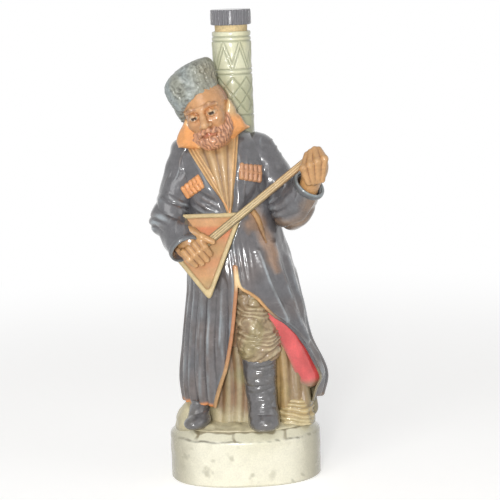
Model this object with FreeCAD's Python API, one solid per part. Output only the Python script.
"""Figural liquor decanter: a glazed ceramic musician in a long coat, standing on an oval plinth.

The vessel is the hollow plinth, the trunk inside the coat and the carved column behind the head,
whose mouth takes a cork stopper with a ribbed plastic head. The coat, limbs, head and instrument
are separate castings luted on to the trunk, so each one is cut to the face of what carries it.
Units are millimetres. The origin is the centre of the plinth's underside, +Z is up and the figure
looks along -Y. Left and right are the figure's own.
"""
import math
import os

import FreeCAD
import Part

V = FreeCAD.Vector
UP = V(0, 0, 1)
ACROSS = V(1, 0, 0)
INWARD = V(0, 1, 0)

# Shared values of the castings
WALL = 4.0
OVAL_POWER = 2.3
ROUND_POWER = 2.0
RING_POINTS = 20
PEBBLE_RING_DEG = (-78, -55, -28, 0, 28, 55, 78)

# Plinth: an oval drum with a sloped white shoulder and a foot ring under it
PLINTH_WIDTH = 113.4
PLINTH_DEPTH = 86.0
PLINTH_HEIGHT = 34.8
PLINTH_EDGE_ROUND = 1.4
SHOULDER_WIDTH = 7.0
SHOULDER_HEIGHT = 5.8
FLOOR = 6.0
FOOT_RING_WIDTH = 8.0
FOOT_RECESS = 2.0

# Ground: the painted earth on top of the plinth
GROUND_THICKNESS = 1.2
GROUND_MARGIN = 1.5
MOUND_WIDTH = 22.0
MOUND_DEPTH = 34.0
MOUND_HEIGHT = 16.0
MOUND_SHARES = (-0.325, -0.03)

# Trunk: the hollow body of the bottle, hidden under the coat
TRUNK_WIDTH = 68.0
TRUNK_DEPTH = 52.0
TRUNK_Y = 7.0
TRUNK_HEIGHT = 194.0
TRUNK_SHARES = ((0.0, 1.08), (0.12, 1.0), (0.5, 1.0), (0.8, 0.95), (1.0, 0.88))

# Column: the carved tube behind the head that ends in the mouth
COLUMN_Y = 17.0
COLUMN_HEIGHT = 98.0
COLUMN_FOOT_RADIUS = 15.2
COLUMN_LIP_RADIUS = 14.5
COLUMN_LIP_ROUND = 0.8
BORE_RADIUS = 9.6
BAND_GROOVE_DEPTH = 0.5
BAND_GROOVE_WIDTH = 1.0
BAND_GROOVES_BELOW_LIP = (4.0, 7.2, 28.0, 31.5, 62.0)

# Stopper: a tapered cork glued into a ribbed head
CORK_TOP_RADIUS = 12.2
CORK_TIP_RADIUS = 10.4
CORK_SHOWN = 4.6
CORK_SEATED = 24.0
CORK_GLUED = 4.0
CORK_TIP_CHAMFER = 1.0
CORK_CLEARANCE = 0.08
HEAD_DIAMETER = 30.2
HEAD_LENGTH = 11.4
HEAD_EDGE_ROUND = 1.1
RIB_COUNT = 26
RIB_GROOVE_RADIUS = 0.85

# Skirt of the coat, from its hem up to the waist
HEM_CLEARANCE = 18.2
SKIRT_WIDTH = 110.0
SKIRT_DEPTH = 74.0
SKIRT_HEIGHT = 92.0
PLEAT_COUNT = 30
PLEAT_DEPTH = 2.4
PLEAT_SUNK_SHARE = 0.55
# the pleats, counted round from the left side by the back, whose place the open front's folds take
FIRST_FOLD_PLEAT = 22
LAST_FOLD_PLEAT = 29
LINING_DEPTH = 9.0
LINING_THICKNESS = 3.0
# height, centre across, half width, centre inward, half depth, share of the pleats' depth
SKIRT_SHARES = (
    (0.00, 0.064, 0.482, 0.081, 0.486, 1.0),
    (0.14, 0.075, 0.503, 0.074, 0.500, 1.0),
    (0.48, 0.036, 0.438, 0.068, 0.493, 1.0),
    (0.76, 0.027, 0.400, 0.068, 0.480, 0.9),
    (1.00, 0.018, 0.368, 0.054, 0.473, 0.4),
)
# The front edges of the two panels, across and up, from the waist to below the hem
RIGHT_EDGE_SHARES = (
    (-0.025, 1.06), (-0.036, 0.84), (-0.064, 0.60), (-0.113, 0.31), (-0.209, -0.02), (-0.23, -0.2),
)
TRIM_SHARES = ((-0.026, 0.99), (-0.036, 0.84), (-0.064, 0.60), (-0.113, 0.31), (-0.20, 0.01))
LEFT_EDGE_SHARES = (
    (-0.005, 1.06), (0.02, 0.96), (0.118, 0.86), (0.227, 0.707), (0.382, 0.576),
    (0.4545, 0.337), (0.505, 0.185), (0.445, 0.087), (0.35, 0.02), (0.33, -0.2),
)
# The folds that fan out beside the left edge, along the stretch of it given here across and up
FOLD_SHARES = ((0.02, 0.96), (0.118, 0.86), (0.227, 0.707), (0.382, 0.576))
FOLD_PITCH = 10.5
FOLD_RADIUS = 6.0
FOLD_RISE = 1.6
# how much of that stretch each fold follows, and how far a fold rises from one end to the other
FOLD_LENGTH_SHARES = (1.0, 0.75, 0.45)
FOLD_RISE_SHARES = (-0.3, 0.8, 1.0, 0.8, -0.3)
LINING_SHARES = (
    (0.145, 0.80), (0.227, 0.70), (0.375, 0.57), (0.447, 0.337), (0.497, 0.185),
    (0.43, 0.12), (0.379, 0.20), (0.30, 0.41), (0.207, 0.61), (0.16, 0.73),
)

# Torso of the coat, from the waist up to the neck
TORSO_WIDTH = 80.0
TORSO_DEPTH = 64.0
TORSO_HEIGHT = 108.0
# height, centre across, half width, centre inward, half depth
TORSO_SHARES = (
    (0.00, 0.025, 0.506, 0.0625, 0.547),
    (0.24, -0.03, 0.475, 0.078, 0.516),
    (0.49, -0.085, 0.450, 0.094, 0.500),
    (0.74, -0.112, 0.450, 0.094, 0.484),
    (0.90, -0.125, 0.390, 0.110, 0.430),
    (0.98, -0.112, 0.275, 0.140, 0.330),
    (1.02, -0.100, 0.150, 0.150, 0.200),
)

# Trims and cartridge pockets that stand proud of the coat
TRIM_RADIUS = 1.5
SHIRT_PROUD = 1.0
LAPEL_WIDTH = 3.6
LAPEL_PROUD = 1.8
POCKET_PROUD = 1.6
CARTRIDGE_COUNT = 5
CARTRIDGE_RADIUS = 1.9
CARTRIDGE_LENGTH = 10.5
SHIRT_SHARES = ((-0.345, 0.93), (-0.015, 0.99), (-0.069, 0.50))
# the two ends of each row, across and up
RIGHT_POCKET_SHARES = ((-0.51, 0.65), (-0.34, 0.74))
LEFT_POCKET_SHARES = ((0.045, 0.81), (0.24, 0.775))

# Arms: the sleeves run from the shoulder by the elbow to the wrist
SLEEVE_SHOULDER_RADIUS = 15.0
SLEEVE_ELBOW_RADIUS = 15.0
RIGHT_MOUTH_RADIUS = 16.0
LEFT_MOUTH_RADIUS = 12.5
SHOULDER_FULLNESS_SHARE = 1.06
ELBOW_FULLNESS_SHARE = 1.12
CUFF_LENGTH = 4.0
CUFF_PROUD = 1.2
MOUTH_REACH = 12.0
RIGHT_SHOULDER_SHARES = (-0.42, 0.09, 0.85)
RIGHT_ELBOW_SHARES = (-0.61, -0.25, 0.43)
LEFT_SHOULDER_SHARES = (0.20, 0.10, 0.855)
LEFT_ELBOW_SHARES = (0.50, -0.09, 0.47)

# Balalaika: a triangular body with a sunk soundboard and a straight neck
BODY_LENGTH = 65.0
BODY_WIDTH = 70.0
BODY_THICKNESS = 10.0
BODY_CORNER_ROUND = 3.0
RIM_WIDTH = 3.4
BOARD_SINK = 0.5
BOARD_THICKNESS = 1.2
FINGERBOARD_WIDTH = 6.6
FINGERBOARD_TIP_WIDTH = 5.4
FINGERBOARD_THICKNESS = 5.0
FINGERBOARD_PROUD = 2.6
FINGERBOARD_START = 22.0
HAND_REACH = 121.0
FINGERBOARD_PAST_HAND = 6.0
BALALAIKA_TIP_DEG = 37.5
BALALAIKA_ROLL_DEG = -17.0
BALALAIKA_YAW_DEG = 4.5
BALALAIKA_SHARES = (-0.5375, -0.50, 0.139)

# Hands
PALM_LENGTH = 22.0
PALM_WIDTH = 20.0
PALM_THICKNESS = 13.0
PALM_LIFT_SHARE = 0.3
KNUCKLE_SHARE = 0.9
KNUCKLE_RADIUS = 3.1
KNUCKLE_SINK_SHARE = 0.5
FINGER_RADIUS = 2.6
FINGER_LENGTH = 14.5
THUMB_RADIUS = 2.9
THUMB_LENGTH = 18.0
THUMB_SPREAD_DEG = 24.0
FINGER_COUNT = 4
FIST_LENGTH = 25.0
FIST_WIDTH = 27.0
FIST_THICKNESS = 22.0
FIST_DROP = 3.5
RIGHT_HAND_SHARES = (0.26, 0.137)
RIGHT_HAND_TURN_DEG = 90.0

# Head, beard and hat
HEAD_WIDTH = 32.0
HEAD_DEPTH = 37.0
HEAD_HEIGHT = 47.0
HEAD_LEAN_DEG = -18.0
HEAD_TURN_DEG = -10.0
HEAD_SHARES = (-0.2375, -0.19, 1.12)
# height, half width, half depth and centre inward of the skull
SKULL_SHARES = (
    (-0.50, 0.16, 0.16, -0.14), (-0.44, 0.26, 0.27, -0.12), (-0.28, 0.40, 0.42, -0.05),
    (0.00, 0.50, 0.50, 0.0), (0.22, 0.49, 0.50, 0.02), (0.40, 0.37, 0.40, 0.03), (0.50, 0.15, 0.18, 0.03),
)
NOSE_SHARES = ((-0.47, 0.12), (-0.53, -0.06))
NOSE_RADIUS = 3.2
NOSE_BRIDGE_RADIUS = 1.9
EAR_HEIGHT = 11.0
EAR_WIDTH = 4.0
EAR_DEPTH = 6.0
BEARD_PROUD = 3.0
BEARD_TOP_SHARE = -0.13
BEARD_BACK_SHARE = 0.18
HAT_WIDTH = 41.0
HAT_DEPTH = 42.0
HAT_HEIGHT = 37.5
HAT_LEAN_DEG = -22.0
HAT_OFFSET_SHARES = (-0.10, 0.08, 0.055)
# height, half width and half depth of the hat
FUR_SHARES = (
    (0.00, 0.415, 0.43), (0.15, 0.425, 0.44), (0.45, 0.46, 0.47), (0.75, 0.495, 0.50),
    (0.90, 0.455, 0.46), (0.97, 0.34, 0.35), (1.00, 0.20, 0.20),
)

# Hood collar: two upright wings beside the head
COLLAR_THICKNESS = 8.0
COLLAR_Y = -17.0
RIGHT_WING_SHARES = ((-0.455, 1.10), (-0.53, 0.96), (-0.525, 0.89), (-0.33, 0.89), (-0.33, 1.05))
LEFT_WING_SHARES = (
    (-0.04, 1.12), (0.021, 1.155), (0.085, 1.087), (0.15, 1.035), (0.06, 0.95), (-0.04, 0.94),
)

# Legs
KNEE_WIDTH = 34.0
KNEE_DEPTH = 30.0
TROUSER_SHARES = (
    (0.98, 0.030, -0.26, 0.21), (0.82, 0.062, -0.28, 0.30), (0.60, 0.102, -0.305, 0.40),
    (0.46, 0.117, -0.305, 0.43), (0.37, 0.116, -0.30, 0.38),
)
BOOT_TOP_WIDTH = 25.0
BOOT_ANKLE_WIDTH = 21.0
BOOT_DEPTH_SHARE = 0.9
FOOT_WIDTH = 21.0
FOOT_LENGTH = 31.0
FOOT_HEIGHT = 15.0
BOOT_SHAFT_SHARES = ((0.375, 0.110, -0.30), (0.14, 0.12, -0.295), (-0.09, 0.13, -0.30))
LEFT_HEEL_SHARES = (0.132, -0.15)
RIGHT_HEEL_SHARES = (-0.25, -0.10)
RIGHT_FOOT_TURN_DEG = -38.0
RIGHT_FOOT_SCALE_SHARE = 0.9
# distance from heel to toe, half width and height of the foot
FOOT_SHARES = (
    (0.0, 0.34, 0.72), (0.14, 0.46, 0.98), (0.45, 0.48, 1.0), (0.75, 0.50, 0.70), (0.94, 0.38, 0.45),
    (1.0, 0.15, 0.2),
)

# Rock that carries the open panel of the coat
ROCK_WIDTH = 30.0
ROCK_DEPTH = 40.0
ROCK_SHARES = (0.335, 0.02)
ROCK_STEPS = 4
# height in the layer and width of the rock
ROCK_STEP_SHARES = ((0.0, 0.94), (0.2, 1.0), (0.8, 1.0), (0.99, 0.93))
ROCK_TAPER_SHARE = 0.06

plinth_top = PLINTH_HEIGHT + SHOULDER_HEIGHT
ground_top = plinth_top + GROUND_THICKNESS
hem_z = ground_top + HEM_CLEARANCE
waist_z = hem_z + SKIRT_HEIGHT
trunk_top = ground_top + TRUNK_HEIGHT
mouth_z = trunk_top + COLUMN_HEIGHT


def closed_curve(points):
    """A closed smooth wire through the points."""
    curve = Part.BSplineCurve()
    curve.interpolate(points, True)
    return Part.Wire([curve.toShape()])


def oval_points(centre, half_width, half_depth, power=OVAL_POWER, swells=(0,) * RING_POINTS):
    """Points of a level superellipse, one for each swell, which is how far that point stands out."""
    points = []
    for i, swell in enumerate(swells):
        turn = 2 * math.pi * i / len(swells)
        c, s = math.cos(turn), math.sin(turn)
        x = math.copysign(abs(c) ** (2 / power), c) * half_width + swell * c
        y = math.copysign(abs(s) ** (2 / power), s) * half_depth + swell * s
        points.append(centre + V(x, y, 0))
    return points


def loft(wires):
    return Part.makeLoft(wires, True, False)


def level_loft(sections, power=OVAL_POWER):
    """A loft through level ovals, each given as centre, half width and half depth."""
    return loft([closed_curve(oval_points(c, w, d, power)) for c, w, d in sections])


def solid_between(front_y, back_y, wire):
    """A closed wire in the XZ plane at y = 0, extruded from front_y to back_y."""
    face = Part.Face(wire)
    face.translate(V(0, front_y, 0))
    return face.extrude(V(0, back_y - front_y, 0))


def polygon(points):
    return Part.makePolygon(list(points) + [points[0]])


def spline_outline(*runs):
    """A closed wire of smooth runs of points, joined end to end by straight lines."""
    edges = []
    for i, run in enumerate(runs):
        curve = Part.BSplineCurve()
        curve.interpolate(run)
        edges.append(curve.toShape())
        edges.append(Part.LineSegment(run[-1], runs[(i + 1) % len(runs)][0]).toShape())
    return Part.Wire(edges)


def tube(points, radii):
    """A round limb through the points, as straight runs between circles square to its path."""
    wires = []
    for i, (point, radius) in enumerate(zip(points, radii)):
        before = points[max(i - 1, 0)]
        after = points[min(i + 1, len(points) - 1)]
        wires.append(Part.Wire([Part.makeCircle(radius, point, (after - before).normalize())]))
    return Part.makeLoft(wires, True, True)


def capsule(start, end, start_radius, end_radius):
    """A round-ended bar, turned about the line from start to end."""
    length = (end - start).Length
    lean = math.asin((start_radius - end_radius) / length)
    side_s = V(start_radius * math.cos(lean), 0, start_radius * math.sin(lean))
    side_e = V(end_radius * math.cos(lean), 0, length + end_radius * math.sin(lean))
    low, high = V(0, 0, -start_radius), V(0, 0, length + end_radius)
    low_turn = (lean - math.pi / 2) / 2
    high_turn = (lean + math.pi / 2) / 2
    low_mid = V(start_radius * math.cos(low_turn), 0, start_radius * math.sin(low_turn))
    high_mid = V(end_radius * math.cos(high_turn), 0, length + end_radius * math.sin(high_turn))
    outline = Part.Wire([
        Part.Arc(low, low_mid, side_s).toShape(),
        Part.LineSegment(side_s, side_e).toShape(),
        Part.Arc(side_e, high_mid, high).toShape(),
        Part.LineSegment(high, low).toShape(),
    ])
    bar = Part.Face(outline).revolve(V(0, 0, 0), UP, 360)
    bar.Placement = FreeCAD.Placement(start, FreeCAD.Rotation(UP, end - start))
    return bar


def pebble(centre, half_x, half_y, half_z):
    """An egg of level ovals with small flats at its two ends."""
    sections = []
    for degrees in PEBBLE_RING_DEG:
        up, out = math.sin(math.radians(degrees)), math.cos(math.radians(degrees))
        sections.append((centre + V(0, 0, half_z * up), half_x * out, half_y * out))
    return level_loft(sections, ROUND_POWER)


def turned(degrees, axis):
    return FreeCAD.Rotation(axis, degrees)


def cut_all(shape, others):
    """The shape without the others, as its one main solid."""
    for other in others:
        shape = shape.cut(other)
    return max(shape.Solids, key=lambda solid: solid.Volume)


def fuse_all(shapes):
    return shapes[0].fuse(shapes[1:]).removeSplitter()


def front_of(shape, point):
    """The place where a line along Y through the point first meets the shape from the front."""
    sight = Part.makeLine(V(point.x, -PLINTH_DEPTH, point.z), V(point.x, 0, point.z))
    return min((vertex.Point for vertex in shape.common(sight).Vertexes), key=lambda hit: hit.y)


def skirt_point(shares):
    """A point of the coat's front at y = 0, from shares of the skirt's width and height."""
    across, up = shares
    return V(SKIRT_WIDTH * across, 0, hem_z + SKIRT_HEIGHT * up)


def torso_point(shares):
    """A point from shares of the torso's width, depth and height."""
    across, inward, up = shares
    return V(TORSO_WIDTH * across, TORSO_DEPTH * inward, waist_z + TORSO_HEIGHT * up)


def chest_point(shares):
    across, up = shares
    return torso_point((across, 0, up))


def make_plinth():
    half_w, half_d = PLINTH_WIDTH / 2, PLINTH_DEPTH / 2

    def oval(inset, z):
        return closed_curve(oval_points(V(0, 0, z), half_w - inset, half_d - inset))

    def drum(inset, bottom, height):
        return Part.Face(oval(inset, bottom)).extrude(V(0, 0, height))

    side = Part.makeLoft([oval(PLINTH_EDGE_ROUND, 0), oval(0, PLINTH_EDGE_ROUND), oval(0, PLINTH_HEIGHT),
                          oval(SHOULDER_WIDTH, plinth_top)], True, True)
    cavity_top = PLINTH_HEIGHT - WALL
    cavity = drum(WALL, FLOOR, cavity_top - FLOOR)
    passage = trunk_cavity(plinth_top, cavity_top)
    recess = drum(FOOT_RING_WIDTH, 0, FOOT_RECESS)
    return side.cut(cavity).cut(passage).cut(recess)


def make_ground(others):
    """The layer of earth, with a mound that rises toward the hem beside the right boot."""
    inset = SHOULDER_WIDTH + GROUND_MARGIN
    outline = oval_points(V(0, 0, plinth_top), PLINTH_WIDTH / 2 - inset, PLINTH_DEPTH / 2 - inset)
    slab = Part.Face(closed_curve(outline)).extrude(V(0, 0, GROUND_THICKNESS))
    slab = slab.cut(trunk_cavity(ground_top, plinth_top))
    across, inward = MOUND_SHARES
    centre = V(PLINTH_WIDTH * across, PLINTH_DEPTH * inward, plinth_top)
    below = Part.makeBox(PLINTH_WIDTH, PLINTH_DEPTH, plinth_top, V(-PLINTH_WIDTH / 2, -PLINTH_DEPTH / 2, 0))
    mound = pebble(centre, MOUND_WIDTH / 2, MOUND_DEPTH / 2, MOUND_HEIGHT).cut(below)
    return cut_all(fuse_all([slab, mound]), others)


def trunk_sections(inset):
    sections = []
    for up, wide in TRUNK_SHARES:
        centre = V(0, TRUNK_Y, ground_top + TRUNK_HEIGHT * up)
        sections.append((centre, TRUNK_WIDTH / 2 * wide - inset, TRUNK_DEPTH / 2 * wide - inset))
    return sections


def trunk_cavity(top, bottom):
    """The straight passage that joins the trunk's hollow to the plinth's."""
    _, half_w, half_d = trunk_sections(WALL)[0]
    outline = closed_curve(oval_points(V(0, TRUNK_Y, bottom), half_w, half_d))
    return Part.Face(outline).extrude(V(0, 0, top - bottom))


def trunk_solid():
    return level_loft(trunk_sections(0))


def make_trunk():
    lid_corner = V(-TRUNK_WIDTH / 2, TRUNK_Y - TRUNK_DEPTH / 2, trunk_top - WALL)
    lid = Part.makeBox(TRUNK_WIDTH, TRUNK_DEPTH, WALL, lid_corner)
    hollow = level_loft(trunk_sections(WALL)).cut(lid)
    bore = Part.makeCylinder(BORE_RADIUS, 2 * WALL, V(0, COLUMN_Y, trunk_top - 2 * WALL))
    return trunk_solid().cut(hollow).cut(bore)


def cork_radius(below_head):
    """The cork's radius at a distance below the stopper's head."""
    length = CORK_SHOWN + CORK_SEATED
    return CORK_TOP_RADIUS + (CORK_TIP_RADIUS - CORK_TOP_RADIUS) * below_head / length


def column_radius(height):
    """The column's radius at a height above its foot."""
    return COLUMN_FOOT_RADIUS + (COLUMN_LIP_RADIUS - COLUMN_FOOT_RADIUS) * height / COLUMN_HEIGHT


def make_column():
    """The tapered tube, turned from one outline with a V groove at each band."""
    outline = [V(0, 0, 0), V(COLUMN_FOOT_RADIUS, 0, 0)]
    half = BAND_GROOVE_WIDTH / 2
    for below in reversed(BAND_GROOVES_BELOW_LIP):
        for up, depth in ((-half, 0), (0, BAND_GROOVE_DEPTH), (half, 0)):
            height = COLUMN_HEIGHT - below + up
            outline.append(V(column_radius(height) - depth, 0, height))
    outline += [V(COLUMN_LIP_RADIUS, 0, COLUMN_HEIGHT), V(0, 0, COLUMN_HEIGHT)]
    tube_solid = Part.Face(polygon(outline)).revolve(V(0, 0, 0), UP, 360)
    lip = max((edge for edge in tube_solid.Edges if edge.Closed), key=lambda edge: edge.CenterOfMass.z)
    tube_solid = tube_solid.makeFillet(COLUMN_LIP_ROUND, [lip])
    seat_tip = CORK_TIP_RADIUS + CORK_CLEARANCE
    seat_mouth = cork_radius(CORK_SHOWN) + CORK_CLEARANCE
    seat = Part.makeCone(seat_tip, seat_mouth, CORK_SEATED, V(0, 0, COLUMN_HEIGHT - CORK_SEATED))
    bore = Part.makeCylinder(BORE_RADIUS, COLUMN_HEIGHT)
    tube_solid = tube_solid.cut(seat).cut(bore)
    tube_solid.translate(V(0, COLUMN_Y, trunk_top))
    return tube_solid


def column_solid():
    """The column without its bore, for fitting what leans on it."""
    return Part.makeCone(COLUMN_FOOT_RADIUS, COLUMN_LIP_RADIUS, COLUMN_HEIGHT, V(0, COLUMN_Y, trunk_top))


def make_cork():
    head_z = mouth_z + CORK_SHOWN
    tip_centre = V(0, COLUMN_Y, mouth_z - CORK_SEATED)
    plug = Part.makeCone(CORK_TIP_RADIUS, CORK_TOP_RADIUS, CORK_SHOWN + CORK_SEATED, tip_centre)
    tip = min(plug.Edges, key=lambda edge: edge.CenterOfMass.z)
    plug = plug.makeChamfer(CORK_TIP_CHAMFER, [tip])
    glued = Part.makeCylinder(CORK_TOP_RADIUS, CORK_GLUED, V(0, COLUMN_Y, head_z))
    return fuse_all([plug, glued])


def make_stopper_head():
    head_z = mouth_z + CORK_SHOWN
    radius = HEAD_DIAMETER / 2
    head = Part.makeCylinder(radius, HEAD_LENGTH)
    rims = [edge for edge in head.Edges if edge.Closed]
    head = head.makeFillet(HEAD_EDGE_ROUND, rims)
    head = head.cut(Part.makeCylinder(CORK_TOP_RADIUS, CORK_GLUED))
    grooves = []
    for i in range(RIB_COUNT):
        place = turned(360 * i / RIB_COUNT, UP).multVec(V(radius, 0, 0))
        grooves.append(Part.makeCylinder(RIB_GROOVE_RADIUS, HEAD_LENGTH, place))
    head = head.cut(grooves)
    head.translate(V(0, COLUMN_Y, head_z))
    return cut_all(head, [])


def pleat_swells(depth):
    """How far the bell stands out at each pleat's valley and ridge, with no pleats where the folds are."""
    swells = []
    for pleat in range(PLEAT_COUNT):
        folded = FIRST_FOLD_PLEAT <= pleat < LAST_FOLD_PLEAT
        valley = 0 if folded and pleat > FIRST_FOLD_PLEAT else -depth * PLEAT_SUNK_SHARE
        ridge = 0 if folded else depth * (1 - PLEAT_SUNK_SHARE)
        swells += [valley, ridge]
    return swells


def skirt_rings(grow):
    """The bell's rings as centre, half width, half depth and share of the pleats' depth."""
    rings = []
    for up, across, wide, inward, deep, pleat_share in SKIRT_SHARES:
        centre = V(SKIRT_WIDTH * across, SKIRT_DEPTH * inward, hem_z + SKIRT_HEIGHT * up)
        rings.append((centre, SKIRT_WIDTH * wide + grow, SKIRT_DEPTH * deep + grow, pleat_share))
    return rings


def skirt_bell(grow):
    """The skirt's outside without its pleats as a full bell, grown outward by a wall."""
    return level_loft([ring[:-1] for ring in skirt_rings(grow)], ROUND_POWER)


def pleated_bell():
    wires = []
    for centre, half_width, half_depth, pleat_share in skirt_rings(0):
        swells = pleat_swells(PLEAT_DEPTH * pleat_share)
        wires.append(polygon(oval_points(centre, half_width, half_depth, ROUND_POWER, swells)))
    return Part.makeLoft(wires, True, True)


def front_opening():
    """The open front of the coat, as deep as the lining's back."""
    right_edge = [skirt_point(p) for p in RIGHT_EDGE_SHARES]
    left_edge = [skirt_point(p) for p in reversed(LEFT_EDGE_SHARES)]
    gap = solid_between(-SKIRT_DEPTH, 0, spline_outline(right_edge, left_edge))
    return gap.cut(skirt_bell(-LINING_DEPTH))


def make_folds(chest):
    """The folds beside the left panel's edge, as bars sunk in the coat, parted at the waist."""
    bell = skirt_bell(0)
    edge = Part.BSplineCurve()
    edge.interpolate([skirt_point(p) for p in FOLD_SHARES])
    start, stretch = edge.FirstParameter, edge.LastParameter - edge.FirstParameter
    corner = V(-SKIRT_WIDTH, -SKIRT_DEPTH, waist_z)
    above_waist = Part.makeBox(2 * SKIRT_WIDTH, 2 * SKIRT_DEPTH, TORSO_HEIGHT, corner)
    upper, lower = [], []
    for i, length_share in enumerate(FOLD_LENGTH_SHARES):
        path = []
        for k, rise_share in enumerate(FOLD_RISE_SHARES):
            place = start + stretch * length_share * k / (len(FOLD_RISE_SHARES) - 1)
            out = edge.tangent(place)[0].cross(INWARD)
            beside = edge.value(place) + out * FOLD_PITCH * (i + 0.5)
            face = front_of(chest if beside.z > waist_z else bell, beside)
            to_middle = V(-face.x, TRUNK_Y - face.y, 0).normalize()
            path.append(face + to_middle * (FOLD_RADIUS - FOLD_RISE * rise_share))
        bar = tube(path, [FOLD_RADIUS] * len(path))
        upper.append(bar.common(above_waist))
        lower.append(bar.cut(above_waist))
    return upper, lower


def make_skirts(folds, opening, trunk):
    """The pleated skirt, parted at the middle into the right and the left panel."""
    skirt = fuse_all([pleated_bell(), *folds]).cut(opening).cut(trunk)
    half = Part.makeBox(SKIRT_WIDTH, 2 * SKIRT_DEPTH, 2 * SKIRT_HEIGHT, V(0, -SKIRT_DEPTH, 0))
    return cut_all(skirt.cut(half), []), cut_all(skirt.common(half), [])


def make_lining(trunk):
    outline = closed_curve([skirt_point(p) for p in LINING_SHARES])
    patch = solid_between(-SKIRT_DEPTH, 0, outline)
    sheet = skirt_bell(LINING_THICKNESS - LINING_DEPTH).cut(skirt_bell(-LINING_DEPTH))
    return cut_all(patch.common(sheet), [trunk])


def make_front_trim(others):
    """Piping along the right panel's front edge, from the waist to the hem."""
    skirt = skirt_bell(0)
    path = [front_of(skirt, skirt_point(p)) for p in TRIM_SHARES]
    return cut_all(tube(path, [TRIM_RADIUS] * len(path)), others)


def torso_solid(grow):
    sections = []
    for up, across, wide, inward, deep in TORSO_SHARES:
        centre = torso_point((across, inward, up))
        sections.append((centre, TORSO_WIDTH * wide + grow, TORSO_DEPTH * deep + grow))
    return level_loft(sections, ROUND_POWER)


def on_chest(outline, proud, chest):
    """A layer with that outline in the XZ plane, standing proud of the coat's chest."""
    patch = solid_between(-TORSO_DEPTH, 0, outline)
    return patch.common(torso_solid(proud)).cut(chest)


def make_shirt(chest):
    return on_chest(polygon([chest_point(p) for p in SHIRT_SHARES]), SHIRT_PROUD, chest)


def lapel_outline(top, point, side):
    """A strip that runs from the neck down to the point of the collar, on its outer side."""
    out = V(side * LAPEL_WIDTH, 0, 0)
    return polygon([top, point, point + out, top + out])


def make_lapels(chest, others):
    right_top, left_top, point = (chest_point(p) for p in SHIRT_SHARES)
    right = cut_all(on_chest(lapel_outline(right_top, point, -1), LAPEL_PROUD, chest), others)
    left = cut_all(on_chest(lapel_outline(left_top, point, 1), LAPEL_PROUD, chest), others + [right])
    return right, left


def make_pocket(shares, chest, others):
    """A row of cartridge tubes on a backing strip, laid across one side of the chest."""
    first, last = (chest_point(p) for p in shares)
    foot = first + INWARD.cross(last - first).normalize() * CARTRIDGE_LENGTH
    first, last, foot = (front_of(chest, corner) for corner in (first, last, foot))
    length = (last - first).Length
    pitch = length / CARTRIDGE_COUNT
    pieces = [Part.makeBox(length, CARTRIDGE_LENGTH, 2 * POCKET_PROUD, V(0, 0, -POCKET_PROUD))]
    for i in range(CARTRIDGE_COUNT):
        top = V(pitch * (i + 0.5), 0, -POCKET_PROUD)
        pieces.append(Part.makeCylinder(CARTRIDGE_RADIUS, CARTRIDGE_LENGTH, top, INWARD))
    pocket = fuse_all(pieces)
    turn = FreeCAD.Rotation(last - first, foot - first, V(0, 0, 0), "XYZ")
    pocket.Placement = FreeCAD.Placement(first, turn)
    return cut_all(pocket, others)


def balalaika_placement():
    turn = turned(BALALAIKA_YAW_DEG, UP).multiply(turned(-BALALAIKA_TIP_DEG, INWARD))
    turn = turn.multiply(turned(BALALAIKA_ROLL_DEG, ACROSS))
    return FreeCAD.Placement(torso_point(BALALAIKA_SHARES), turn)


def body_outline(inset):
    """The rounded triangle of the body: its base at x = 0 and its narrow end under the fingerboard."""
    half, tip = BODY_WIDTH / 2, FINGERBOARD_WIDTH / 2
    slope = (half - tip) / BODY_LENGTH
    lean = math.hypot(1, slope)
    base = half - inset * (lean + slope)
    narrow = tip + slope * inset - inset * (lean - 1)
    end = BODY_LENGTH - inset
    return polygon([V(inset, 0, -base), V(end, 0, -narrow), V(end, 0, narrow), V(inset, 0, base)])


def make_balalaika(carriers):
    place = balalaika_placement()
    block = solid_between(0, BODY_THICKNESS, body_outline(0))
    base_edges = [edge for edge in block.Edges if edge.BoundBox.XMax < BODY_LENGTH / 2]
    corners = [edge for edge in base_edges if edge.BoundBox.ZLength < BODY_WIDTH / 2]
    block = block.makeFillet(BODY_CORNER_ROUND, corners)
    recess = solid_between(0, BOARD_SINK + BOARD_THICKNESS, body_outline(RIM_WIDTH))
    board = solid_between(BOARD_SINK, BOARD_SINK + BOARD_THICKNESS, body_outline(RIM_WIDTH))
    neck = make_fingerboard()
    body = block.cut(recess).cut(neck)
    board = board.cut(neck)
    for piece in (body, board, neck):
        piece.Placement = place
    body = cut_all(body, carriers)
    return body, cut_all(board, carriers), cut_all(neck, carriers)


def make_fingerboard():
    end = HAND_REACH + FINGERBOARD_PAST_HAND
    front, back = -FINGERBOARD_PROUD, FINGERBOARD_THICKNESS - FINGERBOARD_PROUD
    half, tip = FINGERBOARD_WIDTH / 2, FINGERBOARD_TIP_WIDTH / 2
    start = FINGERBOARD_START
    outline = polygon([V(start, 0, -half), V(end, 0, -tip), V(end, 0, tip), V(start, 0, half)])
    return solid_between(front, back, outline)


def right_hand_centre():
    along, across = RIGHT_HAND_SHARES
    place = V(BODY_LENGTH * along, -PALM_THICKNESS * PALM_LIFT_SHARE, BODY_WIDTH * across)
    return balalaika_placement().multVec(place)


def left_hand_centre():
    return balalaika_placement().multVec(V(HAND_REACH, 0, -FIST_DROP))


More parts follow.
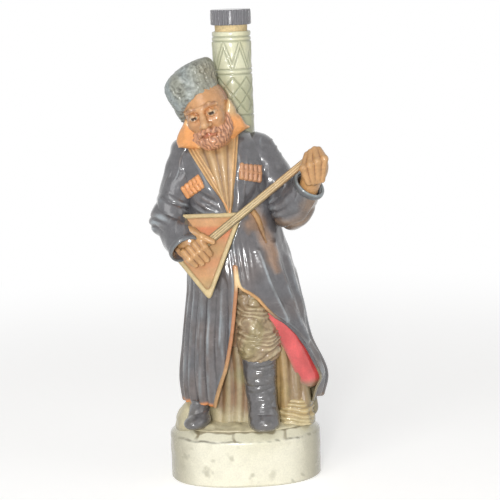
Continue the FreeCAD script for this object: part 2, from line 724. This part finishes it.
def make_right_hand():
    """The strumming hand, laid flat over the soundboard with its fingers together."""
    pieces = [pebble(V(0, 0, 0), PALM_LENGTH / 2, PALM_THICKNESS / 2, PALM_WIDTH / 2)]
    pitch = PALM_WIDTH * KNUCKLE_SHARE / FINGER_COUNT
    for i in range(FINGER_COUNT):
        start = V(PALM_LENGTH / 4, -FINGER_RADIUS / 2, pitch * (i - (FINGER_COUNT - 1) / 2))
        end = start + V(FINGER_LENGTH, FINGER_RADIUS, 0)
        pieces.append(capsule(start, end, KNUCKLE_RADIUS, FINGER_RADIUS))
    start = V(-PALM_LENGTH / 4, 0, PALM_WIDTH / 2 - THUMB_RADIUS)
    spread = turned(-THUMB_SPREAD_DEG, INWARD).multVec(V(THUMB_LENGTH, 0, 0))
    pieces.append(capsule(start, start + spread, THUMB_RADIUS, FINGER_RADIUS))
    hand = fuse_all(pieces)
    turn = balalaika_placement().Rotation.multiply(turned(RIGHT_HAND_TURN_DEG, INWARD))
    hand.Placement = FreeCAD.Placement(right_hand_centre(), turn)
    return hand


def make_left_hand():
    """The fist that closes round the end of the fingerboard, its fingers across the front."""
    pieces = [pebble(V(0, 0, 0), FIST_LENGTH / 2, FIST_THICKNESS / 2, FIST_WIDTH / 2)]
    pitch = FIST_LENGTH / FINGER_COUNT
    front = KNUCKLE_RADIUS * KNUCKLE_SINK_SHARE - FIST_THICKNESS / 2
    for i in range(FINGER_COUNT):
        x = pitch * (i - (FINGER_COUNT - 1) / 2)
        start = V(x, front, FIST_WIDTH / 3)
        end = V(x, front, -FIST_WIDTH / 4)
        pieces.append(capsule(start, end, KNUCKLE_RADIUS, FINGER_RADIUS))
    hand = fuse_all(pieces)
    hand.Placement = FreeCAD.Placement(left_hand_centre(), balalaika_placement().Rotation)
    return hand


def make_sleeve(shoulder_shares, elbow_shares, hand_centre, mouth_radius, others):
    """A full sleeve with a bent elbow and a turned cuff, whose mouth faces the hand."""
    shoulder, elbow = torso_point(shoulder_shares), torso_point(elbow_shares)
    toward = (hand_centre - elbow).normalize()
    mouth = hand_centre - toward * MOUTH_REACH
    upper = tube([shoulder, elbow], [SLEEVE_SHOULDER_RADIUS, SLEEVE_ELBOW_RADIUS])
    lower = tube([elbow, mouth], [SLEEVE_ELBOW_RADIUS, mouth_radius])
    bend = Part.makeSphere(SLEEVE_ELBOW_RADIUS * ELBOW_FULLNESS_SHARE, elbow)
    cap = Part.makeSphere(SLEEVE_SHOULDER_RADIUS * SHOULDER_FULLNESS_SHARE, shoulder)
    sleeve = cut_all(fuse_all([upper, lower, bend, cap]), others)
    cuff = Part.makeCylinder(mouth_radius + CUFF_PROUD, CUFF_LENGTH, mouth, toward)
    cuff = cuff.makeFillet(CUFF_PROUD / 2, [edge for edge in cuff.Edges if edge.Closed])
    return sleeve, cut_all(cuff, [sleeve] + others)


def head_placement():
    turn = turned(HEAD_LEAN_DEG, INWARD).multiply(turned(HEAD_TURN_DEG, UP))
    return FreeCAD.Placement(torso_point(HEAD_SHARES), turn)


def skull_solid(grow):
    sections = []
    for up, wide, deep, inward in SKULL_SHARES:
        centre = V(0, HEAD_DEPTH * inward, HEAD_HEIGHT * up)
        sections.append((centre, HEAD_WIDTH * wide + grow, HEAD_DEPTH * deep + grow))
    skull = level_loft(sections, ROUND_POWER)
    skull.Placement = head_placement()
    return skull


def make_head(others):
    """The head with a plain nose and ears."""
    place = head_placement()
    bridge, tip = (V(0, HEAD_DEPTH * inward, HEAD_HEIGHT * up) for inward, up in NOSE_SHARES)
    nose = capsule(bridge, tip, NOSE_BRIDGE_RADIUS, NOSE_RADIUS)
    features = [nose]
    for side in (-1, 1):
        lobe = V(side * HEAD_WIDTH / 2, 0, 0)
        features.append(pebble(lobe, EAR_WIDTH / 2, EAR_DEPTH / 2, EAR_HEIGHT / 2))
    for feature in features:
        feature.Placement = place.multiply(feature.Placement)
    return cut_all(fuse_all([skull_solid(0)] + features), others)


def make_beard(others):
    """The beard and moustache, a thick layer over the lower front of the head."""
    region = Part.makeBox(2 * HEAD_WIDTH, HEAD_DEPTH, HEAD_HEIGHT)
    back, top = HEAD_DEPTH * BEARD_BACK_SHARE, HEAD_HEIGHT * BEARD_TOP_SHARE
    region.translate(V(-HEAD_WIDTH, back - HEAD_DEPTH, top - HEAD_HEIGHT))
    region.Placement = head_placement().multiply(region.Placement)
    return cut_all(region.common(skull_solid(BEARD_PROUD)), others)


def make_hat(others):
    """A tall fur hat, wider at its crown and leaning to the figure's right."""
    sections = []
    for up, wide, deep in FUR_SHARES:
        sections.append((V(0, 0, HAT_HEIGHT * up), HAT_WIDTH * wide, HAT_DEPTH * deep))
    hat = level_loft(sections, ROUND_POWER)
    across, inward, up = HAT_OFFSET_SHARES
    seat = torso_point(HEAD_SHARES) + V(HEAD_WIDTH * across, HEAD_DEPTH * inward, HEAD_HEIGHT * up)
    hat.Placement = FreeCAD.Placement(seat, turned(HAT_LEAN_DEG, INWARD))
    return cut_all(hat, others)


def make_wing(shares, others):
    wing = solid_between(COLLAR_Y, COLLAR_Y + COLLAR_THICKNESS, polygon([chest_point(p) for p in shares]))
    return cut_all(wing, others)


def make_trouser(opening, lining):
    """The baggy trouser leg that shows in the open front, gathered over the boot."""
    sections = []
    for up, across, inward, wide in TROUSER_SHARES:
        centre = skirt_point((across, up)) + V(0, SKIRT_DEPTH * inward, 0)
        sections.append((centre, KNEE_WIDTH * wide, KNEE_DEPTH * wide))
    return cut_all(level_loft(sections, ROUND_POWER).common(opening), [lining])


def foot_solid(scale):
    """A foot along -Y from its heel at the origin, flat underneath."""
    wires = []
    for along, wide, high in FOOT_SHARES:
        points = []
        for i in range(RING_POINTS):
            turn = 2 * math.pi * i / RING_POINTS
            points.append(V(FOOT_WIDTH * scale * wide * math.cos(turn), -FOOT_LENGTH * scale * along,
                            FOOT_HEIGHT * scale * high * math.sin(turn)))
        wires.append(closed_curve(points))
    foot = loft(wires)
    below = Part.makeBox(4 * FOOT_WIDTH, 4 * FOOT_LENGTH, 4 * FOOT_HEIGHT,
                         V(-2 * FOOT_WIDTH, -2 * FOOT_LENGTH, -4 * FOOT_HEIGHT))
    return foot.cut(below)


def make_left_boot(others):
    widths = (BOOT_TOP_WIDTH, (BOOT_TOP_WIDTH + BOOT_ANKLE_WIDTH) / 2, BOOT_ANKLE_WIDTH)
    sections = []
    for (up, across, inward), width in zip(BOOT_SHAFT_SHARES, widths):
        centre = skirt_point((across, up)) + V(0, SKIRT_DEPTH * inward, 0)
        sections.append((centre, width / 2, width / 2 * BOOT_DEPTH_SHARE))
    shaft = level_loft(sections, ROUND_POWER)
    foot = foot_solid(1.0)
    across, inward = LEFT_HEEL_SHARES
    foot.translate(V(SKIRT_WIDTH * across, SKIRT_DEPTH * inward, ground_top))
    return cut_all(fuse_all([shaft, foot]), others)


def make_right_boot(others):
    """The boot that steps out from under the hem, its shaft ending against the coat."""
    across, inward = RIGHT_HEEL_SHARES
    heel = V(SKIRT_WIDTH * across, SKIRT_DEPTH * inward, ground_top)
    foot = foot_solid(RIGHT_FOOT_SCALE_SHARE)
    foot.Placement = FreeCAD.Placement(heel, turned(RIGHT_FOOT_TURN_DEG, UP))
    instep = heel + foot.Placement.Rotation.multVec(V(0, -FOOT_LENGTH / 3, 0))
    ankle = BOOT_ANKLE_WIDTH / 2
    shaft = Part.makeCone(ankle * RIGHT_FOOT_SCALE_SHARE, ankle, HEM_CLEARANCE, instep)
    return cut_all(fuse_all([foot, shaft]), others)


def make_rock(others):
    """A layered rock under the open panel of the coat."""
    across, inward = ROCK_SHARES
    height = HEM_CLEARANCE / ROCK_STEPS
    wires = []
    for i in range(ROCK_STEPS):
        for up, step_share in ROCK_STEP_SHARES:
            wide = (1 - ROCK_TAPER_SHARE * i) * step_share / 2
            centre = V(SKIRT_WIDTH * across, SKIRT_DEPTH * inward, ground_top + height * (i + up))
            wires.append(closed_curve(oval_points(centre, ROCK_WIDTH * wide, ROCK_DEPTH * wide)))
    return cut_all(Part.makeLoft(wires, True, True), others)


def build():
    """Every node by name, each piece cut to the face of the ones made before it."""
    trunk = trunk_solid()
    column = column_solid()
    chest = torso_solid(0)
    upper_folds, lower_folds = make_folds(chest)
    torso = cut_all(fuse_all([chest, *upper_folds]), [trunk, column])
    opening = front_opening()
    right_skirt, left_skirt = make_skirts(lower_folds, opening, trunk)
    lining = make_lining(trunk)
    trouser = make_trouser(opening, lining)
    left_boot = make_left_boot([trunk, skirt_bell(-LINING_DEPTH), lining, trouser])
    right_boot = make_right_boot([trunk])
    rock = make_rock([trunk, left_boot])
    head = make_head([torso, column])
    hat = make_hat([head, column])
    shirt = cut_all(make_shirt(chest), [head])
    beard = make_beard([torso, head, hat, shirt])
    lapels = make_lapels(chest, [shirt, head, beard])
    front = [shirt, *lapels]
    right_pocket = make_pocket(RIGHT_POCKET_SHARES, chest, [torso, *front])
    left_pocket = make_pocket(LEFT_POCKET_SHARES, chest, [torso, *front])
    body, board, neck = make_balalaika([torso, *front])
    trim = make_front_trim([right_skirt, trouser])
    right_hand = cut_all(make_right_hand(), [body, board, neck, torso])
    left_hand = cut_all(make_left_hand(), [neck, torso])
    right_side = [right_pocket, right_hand, body, board, trunk, torso]
    right_sleeve, right_cuff = make_sleeve(
        RIGHT_SHOULDER_SHARES, RIGHT_ELBOW_SHARES, right_hand_centre(), RIGHT_MOUTH_RADIUS, right_side)
    left_side = [left_pocket, left_hand, neck, column, trunk, torso]
    left_sleeve, left_cuff = make_sleeve(
        LEFT_SHOULDER_SHARES, LEFT_ELBOW_SHARES, left_hand_centre(), LEFT_MOUTH_RADIUS, left_side)
    beside_head = [torso, column, head, beard, hat, *front]
    right_wing = make_wing(RIGHT_WING_SHARES, beside_head + [right_sleeve])
    left_wing = make_wing(LEFT_WING_SHARES, beside_head + [left_sleeve])
    return {
        "plinth": make_plinth(),
        "ground": make_ground([trunk, right_boot]),
        "trunk": make_trunk(),
        "column": make_column(),
        "stopper_cork": make_cork(),
        "stopper_head": make_stopper_head(),
        "coat_torso": torso,
        "coat_skirt_right": right_skirt,
        "coat_skirt_left": left_skirt,
        "coat_lining": lining,
        "coat_front_trim": trim,
        "shirt_front": shirt,
        "lapel_right": lapels[0],
        "lapel_left": lapels[1],
        "cartridge_pocket_right": right_pocket,
        "cartridge_pocket_left": left_pocket,
        "collar_wing_right": right_wing,
        "collar_wing_left": left_wing,
        "sleeve_right": right_sleeve,
        "sleeve_left": left_sleeve,
        "cuff_right": right_cuff,
        "cuff_left": left_cuff,
        "hand_right": right_hand,
        "hand_left": left_hand,
        "head": head,
        "beard": beard,
        "fur_hat": hat,
        "balalaika_body": body,
        "balalaika_soundboard": board,
        "balalaika_neck": neck,
        "trouser_leg": trouser,
        "boot_left": left_boot,
        "boot_right": right_boot,
        "rock": rock,
    }


os.makedirs("parts", exist_ok=True)
for name, shape in build().items():
    shape.exportStep(os.path.join("parts", name + ".step"))
    print(name, len(shape.Solids), "solid,", round(shape.Volume), "mm3, valid", shape.isValid())
